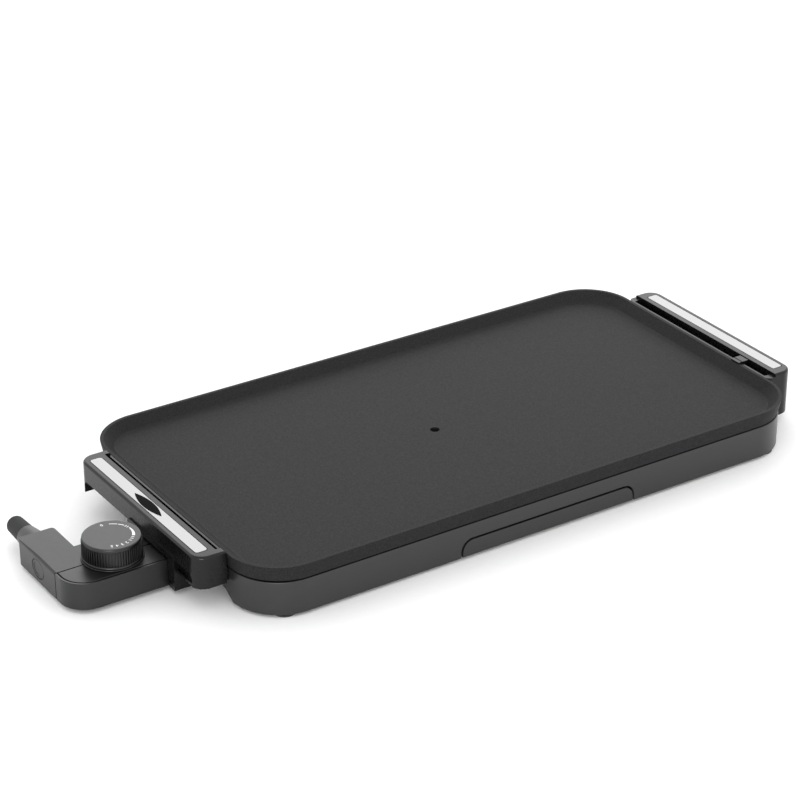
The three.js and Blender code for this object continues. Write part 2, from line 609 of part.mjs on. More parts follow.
for (const [place, side] of [['front', -1], ['rear', 1]]) {
  const at = [CONTACT.y + side * CONTACT.spread, CONTACT.z];
  const sleeve = cut(bar(SOCKET.radius, SOCKET.from, SOCKET.to, at, 'x', 16),
    [bar(SOCKET.bore, SOCKET.from + 2, SOCKET.to + 1, at, 'x', 16)]);
  addPart(`contact_socket_${place}`, sleeve, brass());
}

const rodAt = [CONTACT.y, CONTACT.z];
addPart('sensor_rod', bar(ROD.radius, ROD.root, ROD.tip, rodAt, 'x', 16), steel());
addPart('rod_collar', cut(bar(5, PROBE.nose - 7, PROBE.nose + 3, rodAt, 'x', 20), [
  bar(ROD.radius + GAP, PROBE.nose - 8, PROBE.nose + 4, rodAt, 'x', 16),
]), steel());

CASE_SCREWS.forEach((x, i) => {
  const at = [x, CASE_SCREW_Z];
  const screw = union([
    bar(3.2, PROBE.back - 1 + GAP, PROBE.back - 0.1, at, 'y', 12),
    bar(1.5, PROBE.front + 12, PROBE.back - 0.3, at, 'y', 12),
  ]);
  addPart(`control_screw_${i + 1}`, screw, steel());
});

const collarEnd = PROBE.armBack + GAP + CORD.collarLength;
const wallInside = PROBE.armBack - PROBE.wall - GAP;
addPart('cord_collar', turnedAlongY([[4.3, wallInside - 1.8], [8.8, wallInside - 1.8], [8.8, wallInside],
  [7, wallInside], [7, PROBE.armBack + GAP], [11, PROBE.armBack + GAP], [11, PROBE.armBack + 3],
  [8.7, collarEnd], [4.3, collarEnd], [4.3, wallInside - 1.8]], [CORD.x, CORD.z]), plastic());
addPart('cord_boot', turnedAlongY([[0, wallInside - 2], [4, wallInside - 2], [4, collarEnd + GAP],
  [8.5, collarEnd + GAP], [7.7, CORD.tip - 6], [6.8, CORD.tip - 2.6], [5, CORD.tip - 0.5], [3.2, CORD.tip],
  [3.2, CORD.tip - 7], [0, CORD.tip - 7]], [CORD.x, CORD.z]), rubber());

// ---------------------------------------------------------------- knob
const knobProfile = [[0, 41], [3.4, 41], [3.4, 29.4], [6, 29.4], [6, 42.4], [21.4, 42.4], [21.4, KNOB.bottom],
  [KNOB.radius, KNOB.bottom], [KNOB.radius, KNOB.top - 1.2], [KNOB.radius - 1.2, KNOB.top], [0, KNOB.top]];
addPart('control_knob', turned(knobProfile, spindleAt, 48), plastic());
addPart('knob_spindle', bar(3, 20.4, 40.6, spindleAt, 'z', 16), brass());

export default griddle;
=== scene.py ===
import math

import bpy
from mathutils import Matrix, Vector


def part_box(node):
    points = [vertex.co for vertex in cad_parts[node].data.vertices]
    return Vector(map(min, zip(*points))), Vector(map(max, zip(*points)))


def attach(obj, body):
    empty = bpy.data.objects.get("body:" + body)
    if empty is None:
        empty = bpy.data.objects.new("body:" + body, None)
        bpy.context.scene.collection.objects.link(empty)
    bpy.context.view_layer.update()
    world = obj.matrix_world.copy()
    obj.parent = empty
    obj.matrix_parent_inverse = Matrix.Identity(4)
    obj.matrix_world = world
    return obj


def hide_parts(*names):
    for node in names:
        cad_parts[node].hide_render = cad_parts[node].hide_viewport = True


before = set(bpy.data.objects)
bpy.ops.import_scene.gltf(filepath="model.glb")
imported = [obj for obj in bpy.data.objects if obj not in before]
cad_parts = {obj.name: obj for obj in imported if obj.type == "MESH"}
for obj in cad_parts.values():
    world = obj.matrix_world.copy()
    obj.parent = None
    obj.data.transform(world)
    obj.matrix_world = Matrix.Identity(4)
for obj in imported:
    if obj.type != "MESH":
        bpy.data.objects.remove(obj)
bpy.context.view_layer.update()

MM = 0.001
FULL_TURN = 2 * math.pi

plate_low, plate_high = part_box("cooking_plate")
MIDDLE = (plate_low.x + plate_high.x) / 2   # x of the plate's centre line, in metres
RIM = plate_high.z / MM                     # top of the plate's rim above the table


# ------------------------------------------------------------------ camera, light and floor

CAMERA_AZIMUTH, CAMERA_ELEVATION = -33.29, 27.17   # degrees from straight ahead and from level
CAMERA_PLACE = (-1.0830, -1.5783, 1.0416)          # metres from the plate's middle, on the table
CAMERA_LENS, CAMERA_SENSOR = 115.65, 36
SURROUND_STRENGTH = 1.35
FLOOR_SIZE = 12                                    # metres


def add_camera():
    """Looks down on the front left corner with a long lens, as the object is usually shown."""
    azimuth, elevation = math.radians(CAMERA_AZIMUTH), math.radians(CAMERA_ELEVATION)
    level = math.cos(elevation)
    back = Vector((math.sin(azimuth) * level, -math.cos(azimuth) * level, math.sin(elevation)))
    lens = bpy.data.cameras.new("camera")
    lens.lens = CAMERA_LENS
    lens.sensor_width = CAMERA_SENSOR
    camera = bpy.data.objects.new("camera", lens)
    bpy.context.collection.objects.link(camera)
    camera.location = Vector((MIDDLE, 0, 0)) + Vector(CAMERA_PLACE)
    camera.rotation_mode = "QUATERNION"
    camera.rotation_quaternion = (-back).to_track_quat("-Z", "Y")
    bpy.context.scene.camera = camera


def add_sun(name, energy, spread, towards):
    """A distant round light: how strong, how wide in degrees, and which way it stands."""
    lamp = bpy.data.lights.new(name, "SUN")
    lamp.energy = energy
    lamp.angle = math.radians(spread)
    light = bpy.data.objects.new(name, lamp)
    bpy.context.collection.objects.link(light)
    light.rotation_mode = "QUATERNION"
    light.rotation_quaternion = Vector(towards).to_track_quat("Z", "Y")


def add_studio():
    """White surround over pale paper, a wide light behind for the tops, a low one for corners."""
    world = bpy.data.worlds.new("studio")
    bpy.context.scene.world = world
    world.use_nodes = True
    background = world.node_tree.nodes["Background"]
    background.inputs["Color"].default_value = (1, 1, 1, 1)
    background.inputs["Strength"].default_value = SURROUND_STRENGTH
    add_sun("back_light", energy=0.55, spread=44, towards=(0.49, 0.74, 0.50))
    add_sun("corner_light", energy=1.8, spread=22, towards=(-0.60, -0.79, 0.10))
    deselect()
    bpy.ops.mesh.primitive_plane_add(size=FLOOR_SIZE)
    floor = bpy.context.object
    floor.name = "floor"
    floor.data.materials.append(studio_floor())
    bpy.context.scene.view_settings.view_transform = "Standard"


# ------------------------------------------------------------------ materials

NOISE_LOW, NOISE_HIGH = 0.3, 0.7       # most of a noise texture's values lie between these


def linear(hex_colour):
    """An sRGB hex colour such as "3c3c3e" as the linear colour that the shader takes."""
    channels = [int(hex_colour[i:i + 2], 16) / 255 for i in (0, 2, 4)]
    opaque = 1.0
    return [c / 12.92 if c <= 0.04045 else ((c + 0.055) / 1.055) ** 2.4 for c in channels] + [opaque]


def add_node(tree, kind, settings=None, links=None):
    """Adds a node; settings are its own properties or its sockets' values, links feed its sockets."""
    node = tree.nodes.new(kind)
    for key, value in (settings or {}).items():
        if hasattr(node, key):
            setattr(node, key, value)
        else:
            node.inputs[key].default_value = value
    for key, source in (links or {}).items():
        tree.links.new(source, node.inputs[key])
    return node


def new_material(name, colour, roughness, metallic=0.0, ior=None):
    """A named material with its plain values on the shader; returns it with its tree and shader."""
    material = bpy.data.materials.new(name)
    material.use_nodes = True
    tree = material.node_tree
    shader = tree.nodes["Principled BSDF"]
    shader.inputs["Base Color"].default_value = linear(colour)
    shader.inputs["Roughness"].default_value = roughness
    shader.inputs["Metallic"].default_value = metallic
    if ior:
        shader.inputs["IOR"].default_value = ior
    return material, tree, shader


def object_place(tree, stretch=None):
    """The point on the object in metres, stretched where a grain runs one way."""
    place = add_node(tree, "ShaderNodeTexCoord").outputs["Object"]
    if stretch is None:
        return place
    mapping = add_node(tree, "ShaderNodeMapping", {"Scale": stretch}, {"Vector": place})
    return mapping.outputs["Vector"]


def noise(tree, place, grain_mm, detail=3.0, roughness=0.55):
    """A noise value whose blotches are about grain_mm across."""
    settings = {"Scale": 1 / (grain_mm * MM), "Detail": detail, "Roughness": roughness}
    return add_node(tree, "ShaderNodeTexNoise", settings, {"Vector": place}).outputs["Fac"]


def remap(tree, value, to_low, to_high, low=NOISE_LOW, high=NOISE_HIGH):
    """Spreads a value from one range onto another."""
    settings = {"From Min": low, "From Max": high, "To Min": to_low, "To Max": to_high}
    return add_node(tree, "ShaderNodeMapRange", settings, {"Value": value}).outputs["Result"]


def tint(tree, value, dark, light):
    """A colour that runs from one hex colour to another with a value of 0 to 1."""
    mix = add_node(tree, "ShaderNodeMix", {"data_type": "RGBA"}, {"Factor": value})
    ends = [socket for socket in mix.inputs if socket.type == "RGBA"]
    for socket, colour in zip(ends, (dark, light)):
        socket.default_value = linear(colour)
    return next(socket for socket in mix.outputs if socket.type == "RGBA")


def bump(tree, shader, height, depth_mm):
    """Raises the surface by a height of 0 to 1 times depth_mm."""
    settings = {"Strength": 1.0, "Distance": depth_mm * MM}
    node = add_node(tree, "ShaderNodeBump", settings, {"Height": height})
    tree.links.new(node.outputs["Normal"], shader.inputs["Normal"])


def studio_floor():
    """Seamless white paper: flat and pale, so that it takes only a soft shadow."""
    material, tree, shader = new_material("white_paper", "f4f4f4", 0.9)
    fibre = noise(tree, object_place(tree), 6)
    tree.links.new(tint(tree, fibre, "f2f2f2", "f6f6f6"), shader.inputs["Base Color"])
    return material


def nonstick_coating():
    """Sprayed PTFE coating on cast aluminium: dark grey, finely pebbled, faintly speckled."""
    material, tree, shader = new_material("nonstick_coating", "222223", 0.5, ior=1.16)
    place = object_place(tree)
    speckle = noise(tree, place, 1.1, detail=2.0, roughness=0.7)
    flecks = remap(tree, speckle, 0.0, 1.0, low=0.40, high=0.66)
    tree.links.new(tint(tree, flecks, "1c1c1d", "29292a"), shader.inputs["Base Color"])
    bump(tree, shader, noise(tree, place, 0.8, detail=2.0), 0.05)
    return material


def moulded_plastic(name, dark, light, roughness, ior=1.5, depth_mm=0.02):
    """Injection-moulded heat-resistant plastic with a fine spark-eroded grain and a satin sheen."""
    material, tree, shader = new_material(name, dark, roughness, ior=ior)
    place = object_place(tree)
    tree.links.new(tint(tree, noise(tree, place, 9), dark, light), shader.inputs["Base Color"])
    sheen = remap(tree, noise(tree, place, 5), roughness - 0.02, roughness + 0.02)
    tree.links.new(sheen, shader.inputs["Roughness"])
    bump(tree, shader, noise(tree, place, 0.7, detail=2.0), depth_mm)
    return material


def brushed_stainless():
    """Stainless strip brushed along its length: fine streaks that smear the light across them."""
    material, tree, shader = new_material("brushed_stainless", "989898", 0.34, metallic=1.0)
    streaks = noise(tree, object_place(tree, (1, 0.02, 1)), 0.5, detail=4.0, roughness=0.7)
    tree.links.new(tint(tree, streaks, "848484", "aaaaaa"), shader.inputs["Base Color"])
    tree.links.new(remap(tree, streaks, 0.26, 0.42), shader.inputs["Roughness"])
    bump(tree, shader, streaks, 0.01)
    return material


def sheet_metal(name, dark, light, roughness, grain_mm):
    """Zinc-plated or bright metal with faint cloudy patches."""
    material, tree, shader = new_material(name, dark, roughness, metallic=1.0)
    cloud = noise(tree, object_place(tree), grain_mm)
    tree.links.new(tint(tree, cloud, dark, light), shader.inputs["Base Color"])
    sheen = remap(tree, cloud, roughness - 0.06, roughness + 0.08)
    tree.links.new(sheen, shader.inputs["Roughness"])
    return material


def glossy_black():
    """Black lacquered ABS with few reflections and a few hairline wipe marks in its polish."""
    material, tree, shader = new_material("gloss_black_abs", "050505", 0.2, ior=1.06)
    wipes = noise(tree, object_place(tree, (1, 0.1, 1)), 2)
    tree.links.new(remap(tree, wipes, 0.16, 0.26), shader.inputs["Roughness"])
    return material


def steatite():
    """Fired steatite ceramic: cream, matt, slightly mottled."""
    material, tree, shader = new_material("steatite_ceramic", "e4dccb", 0.6)
    mottle = noise(tree, object_place(tree), 3)
    tree.links.new(tint(tree, mottle, "dcd3c0", "ece5d6"), shader.inputs["Base Color"])
    return material


def moulded_rubber():
    """Black moulded rubber: matt, dusty at its high spots."""
    material, tree, shader = new_material("moulded_rubber", "161617", 0.75)
    dust = noise(tree, object_place(tree), 4)
    tree.links.new(tint(tree, dust, "121213", "1d1d1e"), shader.inputs["Base Color"])
    bump(tree, shader, noise(tree, object_place(tree), 0.8), 0.03)
    return material


def scale_ink():
    """Pad-printed white ink on the knob: flat white, thin enough to let a little grey through."""
    material, tree, shader = new_material("printed_white_ink", "ececec", 0.55)
    wear = noise(tree, object_place(tree), 1.0)
    tree.links.new(tint(tree, wear, "e2e2e2", "f6f6f6"), shader.inputs["Base Color"])
    return material


# ------------------------------------------------------------------ modelling helpers

LEVEL = 1e-6               # metres; an edge whose ends differ by less runs across that axis
SMOOTH_UNDER = 40          # degrees; gentler edges are shaded as a curve
BEVEL_OVER = 32            # degrees; sharper edges are rounded


def at(x, y, z):
    """A point given in millimetres from the middle of the plate, on the table."""
    return Vector((MIDDLE + x * MM, y * MM, z * MM))


def deselect():
    """Leaves edit mode with nothing selected, because an operator acts on all that is."""
    if bpy.context.object and bpy.context.mode != "OBJECT":
        bpy.ops.object.mode_set(mode="OBJECT")
    bpy.ops.object.select_all(action="DESELECT")


def focus(piece):
    """Selects one piece alone."""
    deselect()
    piece.select_set(True)
    bpy.context.view_layer.objects.active = piece


def settle(piece, name):
    """Names a piece and puts its place into its mesh."""
    piece.name = piece.data.name = name
    focus(piece)
    bpy.ops.object.transform_apply(location=True, rotation=True, scale=True)
    return piece


def slab(name, x, y, z):
    """A rectangular blank from its spans along x, y and z."""
    deselect()
    low = at(min(x), min(y), min(z))
    high = at(max(x), max(y), max(z))
    bpy.ops.mesh.primitive_cube_add(size=1, location=(low + high) / 2)
    bpy.context.object.scale = high - low
    return settle(bpy.context.object, name)


def rod(name, radius, start, end, sides=40):
    """A round blank between two points in metres, its radius in millimetres."""
    deselect()
    start, end = Vector(start), Vector(end)
    bpy.ops.mesh.primitive_cylinder_add(vertices=sides, radius=radius * MM,
                                        depth=(end - start).length, location=(start + end) / 2)
    blank = bpy.context.object
    blank.rotation_mode = "QUATERNION"
    blank.rotation_quaternion = (end - start).to_track_quat("Z", "Y")
    return settle(blank, name)


def pick(piece, kind, chosen):
    """Goes into edit mode with just those edges or faces selected that a test chooses."""
    focus(piece)
    bpy.ops.object.mode_set(mode="EDIT")
    bpy.ops.mesh.select_mode(type=kind)
    bpy.ops.mesh.select_all(action="DESELECT")
    bpy.ops.object.mode_set(mode="OBJECT")
    for element in (piece.data.edges if kind == "EDGE" else piece.data.polygons):
        element.select = chosen(element)
    bpy.ops.object.mode_set(mode="EDIT")


def pick_edges(piece, test):
    """Picks the edges whose two ends pass the test."""
    pick(piece, "EDGE", lambda edge: test(*[piece.data.vertices[i].co for i in edge.vertices]))


def faces_towards(x, y, z):
    """A test for faces that look one way."""
    return lambda face: face.normal.dot(Vector((x, y, z))) > 0.9


def runs_along(axis):
    """A test for edges that run along one axis only."""
    return lambda a, b: all((abs(a[i] - b[i]) > LEVEL) == (i == axis) for i in range(3))


ALONG_X, ALONG_Y, UPRIGHT = [runs_along(axis) for axis in range(3)]


def above(z):
    """A test for places higher than z."""
    return lambda place: place.z > z * MM


def round_corners(piece, radius, segments=16, runs=UPRIGHT, where=None):
    """Rounds the edges that run one way, all of them or those whose place passes a test."""
    pick_edges(piece, lambda a, b: runs(a, b) and (where is None or where(a)))
    bpy.ops.mesh.bevel(offset=radius * MM, segments=segments, affect="EDGES")
    bpy.ops.object.mode_set(mode="OBJECT")
    return piece


def step_face(piece, test, steps):
    """Insets the faces that pass a test by each width in turn, raised by each height."""
    pick(piece, "FACE", test)
    for width, height in steps:
        bpy.ops.mesh.inset(thickness=width * MM, depth=height * MM)
    bpy.ops.object.mode_set(mode="OBJECT")
    return piece


def spread_underside(piece, x, y, middle):
    """Widens or narrows a blank's underside about a middle, so that its sides slope."""
    pick(piece, "FACE", faces_towards(0, 0, -1))
    bpy.ops.transform.resize(value=(x, y, 1), center_override=middle)
    bpy.ops.object.mode_set(mode="OBJECT")
    return piece


def combine(piece, tools, how):
    """Joins tools to a piece or cuts them away from it, and uses them up."""
    for tool in tools:
        modifier = piece.modifiers.new(how.lower(), "BOOLEAN")
        modifier.operation = how
        modifier.solver = "EXACT"
        modifier.object = tool
        focus(piece)
        bpy.ops.object.modifier_apply(modifier=modifier.name)
        bpy.data.objects.remove(tool)
    return piece


def cut(piece, *tools):
    """Takes the tools away from a piece."""
    return combine(piece, tools, "DIFFERENCE")


def weld(piece, *tools):
    """Makes one solid of a piece and the tools."""
    return combine(piece, tools, "UNION")


def soften(piece, width, segments=3, angle=BEVEL_OVER):
    """Rounds every sharp edge as a mould does, and shades the curves smooth and the flats flat."""
    focus(piece)
    if width:
        modifier = piece.modifiers.new("edges", "BEVEL")
        modifier.width = width * MM
        modifier.segments = segments
        modifier.limit_method = "ANGLE"
        modifier.angle_limit = math.radians(angle)
        bpy.ops.object.modifier_apply(modifier=modifier.name)
    bpy.ops.object.shade_smooth_by_angle(angle=math.radians(SMOOTH_UNDER))
    modifier = piece.modifiers.new("normals", "WEIGHTED_NORMAL")
    modifier.keep_sharp = True
    bpy.ops.object.modifier_apply(modifier=modifier.name)
    return piece


def arc(centre, radius, start, end, points):
    """Points of a round stretch in a profile, angles in degrees."""
    angles = [math.radians(start + (end - start) * i / (points - 1)) for i in range(points)]
    return [(centre[0] + radius * math.cos(a), centre[1] + radius * math.sin(a)) for a in angles]


def turn(name, profile, centre, axis=(0, 0, 1), steps=72):
    """Spins a profile of (radius, height) points about an axis through a centre, as on a lathe."""
    profile = [(radius * MM, height * MM) for radius, height in profile]
    deselect()
    bpy.ops.mesh.primitive_plane_add(size=MM)
    piece = bpy.context.object
    bpy.ops.object.mode_set(mode="EDIT")
    bpy.ops.mesh.select_mode(type="VERT")
    bpy.ops.mesh.select_all(action="SELECT")
    bpy.ops.mesh.merge(type="CENTER")
    bpy.ops.transform.translate(value=(profile[0][0], 0, profile[0][1]))
    for (r0, h0), (r1, h1) in zip(profile, profile[1:]):
        bpy.ops.mesh.extrude_region_move(TRANSFORM_OT_translate={"value": (r1 - r0, 0, h1 - h0)})
    bpy.ops.mesh.select_all(action="SELECT")
    bpy.ops.mesh.spin(steps=steps, angle=FULL_TURN, center=(0, 0, 0), axis=(0, 0, 1))
    bpy.ops.mesh.select_all(action="SELECT")
    bpy.ops.mesh.remove_doubles(threshold=0.01 * MM)
    bpy.ops.mesh.normals_make_consistent(inside=False)
    bpy.ops.object.mode_set(mode="OBJECT")
    piece.rotation_mode = "QUATERNION"
    piece.rotation_quaternion = Vector(axis).to_track_quat("Z", "Y")
    piece.location = centre
    return settle(piece, name)


def copies_round(piece, count, centre):
    """Copies a small shape round an upright axis, evenly, within its own mesh."""
    focus(piece)
    bpy.ops.object.mode_set(mode="EDIT")
    bpy.ops.mesh.select_all(action="SELECT")
    bpy.ops.mesh.spin(steps=count - 1, dupli=True, angle=FULL_TURN * (count - 1) / count,
                      center=centre, axis=(0, 0, 1))
    bpy.ops.object.mode_set(mode="OBJECT")
    return piece


def dress(piece, material, body, slot, *nodes):
    """Gives a finished piece its material and its body, and hides the CAD nodes it stands for; slot is
    not used.
    """
    piece.data.materials.clear()
    piece.data.materials.append(material)
    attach(piece, body)
    if nodes:
        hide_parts(*nodes)
    return piece


# ------------------------------------------------------------------ where the pieces are

PLATE_HALF_LENGTH, PLATE_HALF_WIDTH = 268.5, 145
PLATE_CORNER = 45
PLATE_FLARE = 2.2      # how far the plate's outer band leans out
FLOOR_Z = 38           # cooking floor above the table
SEAM_Z = 32.9          # underside of the plate's outer band
BASE_INSET = 2.4       # the base stands in under the plate by this much
BASE_Z = (2.5, 31.5)   # the base's height span, held up by its feet
BASE_END = PLATE_HALF_LENGTH - BASE_INSET
TRAY_X = 4             # the drip tray's middle
HANDLE_WALL = 268.8    # the handles' faces beside the plate's rim
NECK_END = BASE_END + 0.4          # what reaches from the handles under the rim stops short here
CASE_LEFT, CASE_NOSE = -378, -285      # the control's outer and inner ends
CASE_FRONT, CASE_BACK = -53, 5
CASE_Z = (4, 27)
KNOB_X, KNOB_Y = -329, -25
KNOB_TOP = 46
PIN_Z, PIN_SPREAD = 18, 15
THROAT_Y, THROAT_TOP = (CASE_FRONT - 1.6, CASE_BACK + 1.6), CASE_Z[1] + 2   # way in for the nose


# ------------------------------------------------------------------ cooking plate

RIM_WIDTH = 3.0                            # flat top of the rim
WALL_RUN = 7.6                             # how far in the rim's inner wall slopes
FLOOR_FILLET = ((1.2, 0.7), (1.4, 0.3))    # widths and drops that ease the wall into the floor
TUNNEL_X = (-262, -185)                    # the sensor rod's tunnel, cast under the plate
TUNNEL_RADIUS, TUNNEL_BORE, TUNNEL_WEB = 6.5, 3.7, 8
DRAIN_X, DRAIN_Y, DRAIN_RADIUS = -15, -5, 4
SPOUT_RADIUS, SPOUT_Z = 7, (18, 36)


def make_plate(coating):
    """Cast plate: band leaning out, narrow rounded rim, sloping wall, flat floor with its drain."""
    plate = slab("plate", (-PLATE_HALF_LENGTH, PLATE_HALF_LENGTH),
                 (-PLATE_HALF_WIDTH, PLATE_HALF_WIDTH), (SEAM_Z, RIM))
    round_corners(plate, PLATE_CORNER, 28)
    spread_underside(plate, 1 - PLATE_FLARE / PLATE_HALF_LENGTH,
                     1 - PLATE_FLARE / PLATE_HALF_WIDTH, at(0, 0, SEAM_Z))
    wall_drop = RIM - FLOOR_Z - sum(drop for width, drop in FLOOR_FILLET)
    steps = [(RIM_WIDTH, 0), (WALL_RUN, -wall_drop)]
    steps += [(width, -drop) for width, drop in FLOOR_FILLET]
    step_face(plate, faces_towards(0, 0, 1), steps)
    tunnel_start, tunnel_end = [at(x, KNOB_Y, PIN_Z) for x in TUNNEL_X]
    tunnel = rod("tunnel", TUNNEL_RADIUS, tunnel_start, tunnel_end)
    web = slab("web", TUNNEL_X, (KNOB_Y - TUNNEL_WEB / 2, KNOB_Y + TUNNEL_WEB / 2),
               (PIN_Z, SEAM_Z + 1))
    spout = rod("spout", SPOUT_RADIUS, *[at(DRAIN_X, DRAIN_Y, z) for z in SPOUT_Z])
    weld(plate, weld(tunnel, web), spout)
    drain = rod("drain", DRAIN_RADIUS, at(DRAIN_X, DRAIN_Y, 10), at(DRAIN_X, DRAIN_Y, 50))
    bore = rod("bore", TUNNEL_BORE, at(TUNNEL_X[0] - 2, KNOB_Y, PIN_Z),
               at(TUNNEL_X[1] - 5, KNOB_Y, PIN_Z))
    cut(plate, drain, bore)
    soften(plate, 1.1, 4, angle=18)
    return dress(plate, coating, "griddle", "coated_plate", "cooking_plate")


# ------------------------------------------------------------------ base

BASE_WALL = 3
LEDGE_WIDTH, LEDGE_TOP = 7, 5              # the ledge round the underside that takes the cover
ARCH_X, ARCH_HALF, ARCH_TOP = (254, 270), 84, 12
ARCH_SPREAD = 1.27                         # how much wider the arches are at the table
ARCH_CORNER, ARCH_FOOT = 7, 6              # rounding at the arches' tops and feet
WINDOW_HALF, WINDOW_TOP, WINDOW_CORNER = 85.9, 18.3, 10.5
INLET_X = (-270, -254)                     # through the left end wall, for the control's nose


def base_blank(name, wall, z, segments):
    """The base's outline, set in by a wall."""
    length, width = BASE_END - wall, PLATE_HALF_WIDTH - BASE_INSET - wall
    blank = slab(name, (-length, length), (-width, width), z)
    return round_corners(blank, PLATE_CORNER - BASE_INSET - wall, segments)


def arch_blank(end):
    """What is cleared away under an end wall: flat-topped, its sides sloping out to the table."""
    arch = slab("arch", [end * x for x in ARCH_X], (-ARCH_HALF, ARCH_HALF), (-1, ARCH_TOP))
    spread_underside(arch, 1, ARCH_SPREAD, at(0, 0, 0))
    return round_corners(arch, ARCH_CORNER, 8, ALONG_X, above(ARCH_TOP - 1))


def at_arch_foot(place):
    """Whether a place is where an arch's side meets the base's lower edge."""
    return ARCH_HALF < abs(place.y) / MM < ARCH_HALF * ARCH_SPREAD and place.z < (BASE_Z[0] + 1) * MM


def tray_slab(name, half, y, z):
    """A blank centred on the drip tray."""
    return slab(name, (TRAY_X - half, TRAY_X + half), y, z)


def make_base(plastic):
    """Deep satin skirt under the plate, arched at both ends, with the tray's window in front."""
    skirt = base_blank("skirt", 0, BASE_Z, 28)
    cut(skirt, base_blank("room", BASE_WALL, (LEDGE_TOP, 40), 20))
    cut(skirt, base_blank("mouth", LEDGE_WIDTH, (0, LEDGE_TOP + 1), 20))
    cut(skirt, arch_blank(-1), arch_blank(1))
    round_corners(skirt, ARCH_FOOT, 8, ALONG_X, at_arch_foot)
    window = tray_slab("window", WINDOW_HALF, (-150, -130), (0, WINDOW_TOP))
    round_corners(window, WINDOW_CORNER, 10, ALONG_Y, above(WINDOW_TOP - 1))
    inlet = slab("inlet", INLET_X, THROAT_Y, (0, THROAT_TOP))
    cut(skirt, window, inlet)
    soften(skirt, 0.8)
    return dress(skirt, plastic, "griddle", "base_plastic", "base_skirt")


def make_feet(rubber):
    """Four rubber buttons under the base's corners, each with a barbed stem through the cover."""
    radius, edge, top = 10.2, 1.4, 2.2
    stem, barb, barb_z, tip, tip_z = 3.2, 4.6, 7.1, 3.4, 9.8
    profile = [(0, 0), (radius - edge, 0)]
    profile += arc((radius - edge, edge), edge, -90, 0, 4) + [(radius, top), (stem, top)]
    profile += [(stem, barb_z), (barb, barb_z), (tip, tip_z), (0, tip_z)]
    for node in ("foot_front_left", "foot_front_right", "foot_rear_right", "foot_rear_left"):
        low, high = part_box(node)
        centre = ((low.x + high.x) / 2, (low.y + high.y) / 2, 0)
        foot = turn(node + "_pad", profile, centre, steps=40)
        soften(foot, 0)
        dress(foot, rubber, "griddle", "foot_rubber", node)


# ------------------------------------------------------------------ drip tray

TRAY_HALF, TRAY_Y, TRAY_Z = 77.5, (-140.6, 45), (3.8, 14.5)
TRAY_CORNER, TRAY_SHEET = 6, 2
FLANGE_HALF, FLANGE_SHEET, FLANGE_CORNER = 82, 2.1, 3
FRONT_HALF, FRONT_Z, FRONT_CORNER = 84.4, (3.2, 16.9), 9.6


def make_tray(plastic):
    """Drip tray: a shallow pan on two side flanges behind a flush front."""
    tray_front, tray_back = TRAY_Y
    bottom, top = TRAY_Z
    pan = tray_slab("tray", TRAY_HALF, TRAY_Y, TRAY_Z)
    round_corners(pan, TRAY_CORNER, 6, UPRIGHT, lambda place: place.y > 0)
    well = tray_slab("well", TRAY_HALF - TRAY_SHEET,
                     (tray_front + TRAY_SHEET, tray_back - TRAY_SHEET), (bottom + TRAY_SHEET, 20))
    flanges = tray_slab("flanges", FLANGE_HALF, (tray_front + 10, tray_back),
                        (top - FLANGE_SHEET, top))
    round_corners(flanges, FLANGE_CORNER, 4)
    front = tray_slab("front", FRONT_HALF, (tray_front - TRAY_SHEET, tray_front + TRAY_SHEET), FRONT_Z)
    round_corners(front, FRONT_CORNER, 10, ALONG_Y, above(FRONT_Z[1] - 1))
    weld(pan, flanges)
    cut(pan, round_corners(well, TRAY_CORNER - 1.5, 6))
    weld(pan, front)
    soften(pan, 0.6)
    return dress(pan, plastic, "drip_tray", "base_plastic", "drip_tray")


# ------------------------------------------------------------------ handles

HANDLE_HALF, HANDLE_TOP = 98, 48       # half the handles' length, and their top
HANDLE_CORNER, HANDLE_EDGE = 12, 2.2   # rounding of the outer corners and of the top edge
LEG = HANDLE_HALF - 9                  # inner faces of the legs
GRIP_Z, GRIP_CORNER = 31, 5            # underside of the bars
BAR_WALL, BAR_ROOF = 2.6, 3.6          # what the hollow in a bar leaves
RAIL_BACK = HANDLE_WALL + 1.8          # thin rail between each slot and the plate
RAIL_HALF, RAIL_Z = 91, (36, 45.8)
LEFT = {"side": -1, "outer": 295, "slot": 274.4, "inlay": 284.4, "leg_bottom": 20,
        "inner_corner": 0}
RIGHT = {"side": 1, "outer": 298, "slot": 277.5, "inlay": 287.8, "leg_bottom": 7,
         "inner_corner": 5}
INLAY_HALF_WIDTH, INLAY_HALF_LENGTH, INLAY_CORNER = 5.2, 88, 2.5
BADGE_HALF_LENGTH, BADGE_HALF_WIDTH, BADGE_Y = 22, 4.4, -2
HOOD_X, HOOD_Y, HOOD_Z = (-296.3, -HANDLE_WALL), (-63.5, 12), (4, 34)
WEB_Y = (-90, -62.5)                   # the plate that closes the space beside the hood
CATCH_Y, CATCH_Z, CATCH_REACH = (-62, -51), (33.4, 47.4), 3


